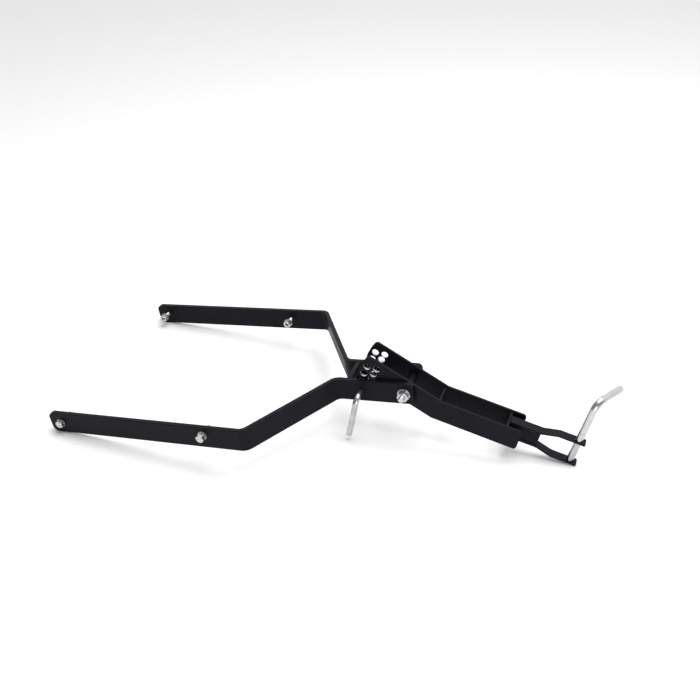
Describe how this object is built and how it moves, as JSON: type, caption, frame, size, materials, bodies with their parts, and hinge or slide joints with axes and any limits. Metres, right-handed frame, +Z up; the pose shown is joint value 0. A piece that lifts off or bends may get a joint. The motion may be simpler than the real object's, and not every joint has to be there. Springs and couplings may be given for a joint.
{
  "type": "adjustable stand frame",
  "caption": "Cranked two-arm flat-bar frame with clamp bolts, a hinged beam indexed by a hole sector and lock pin, and a strap fork with a hitch pin.",
  "frame": {"origin": "middle of the footprint's bounding box, on the floor that the arm ends and the fork tip rest on", "axes": "+X along the stand from the arms' free ends towards the fork, +Y towards the left arm, +Z up"},
  "size_m": [0.9366, 0.3992, 0.1553],
  "materials": {
    "black_powder_coat": "semi-gloss black powder coat on steel",
    "zinc_fasteners": "bright zinc-plated steel",
    "bright_pins": "polished bright plated steel rod"
  },
  "bodies": {
    "frame": {"right_arm": "black_powder_coat", "left_arm": "black_powder_coat", "yoke_plate": "black_powder_coat", "right_end_bolt": "zinc_fasteners", "right_end_washer": "zinc_fasteners", "right_end_nut": "zinc_fasteners", "right_middle_bolt": "zinc_fasteners", "right_middle_washer": "zinc_fasteners", "right_middle_nut": "zinc_fasteners", "left_end_bolt": "zinc_fasteners", "left_end_washer": "zinc_fasteners", "left_end_nut": "zinc_fasteners", "left_middle_bolt": "zinc_fasteners", "left_middle_washer": "zinc_fasteners", "left_middle_nut": "zinc_fasteners", "pivot_bolt": "zinc_fasteners", "pivot_washer_left": "zinc_fasteners", "pivot_washer_right": "zinc_fasteners", "pivot_nut": "zinc_fasteners"},
    "beam": {"right_side_plate": "black_powder_coat", "left_side_plate": "black_powder_coat", "pivot_sleeve": "black_powder_coat", "front_bulkhead": "black_powder_coat", "rear_bulkhead": "black_powder_coat", "fork_block": "black_powder_coat", "upper_fork_strap": "black_powder_coat", "lower_fork_strap": "black_powder_coat"},
    "lock_pin": {"lock_pin": "bright_pins"},
    "hitch_pin": {"hitch_pin": "bright_pins"}
  },
  "joints": [
    {"name": "beam_pitch", "type": "hinge", "parent": "frame", "child": "beam", "pos_m": [0.13034, 0.003, 0.10038], "axis": [0, 1, 0], "range_deg": [-36, 0]},
    {"name": "lock_pin_slide", "type": "slide", "parent": "frame", "child": "lock_pin", "axis": [0, 1, 0], "range_m": [-0.006, 0.012]},
    {"name": "hitch_pin_slide", "type": "slide", "parent": "beam", "child": "hitch_pin", "axis": [0.2196, 0, 0.9756], "range_m": [-0.055, 0.045]}
  ]
}
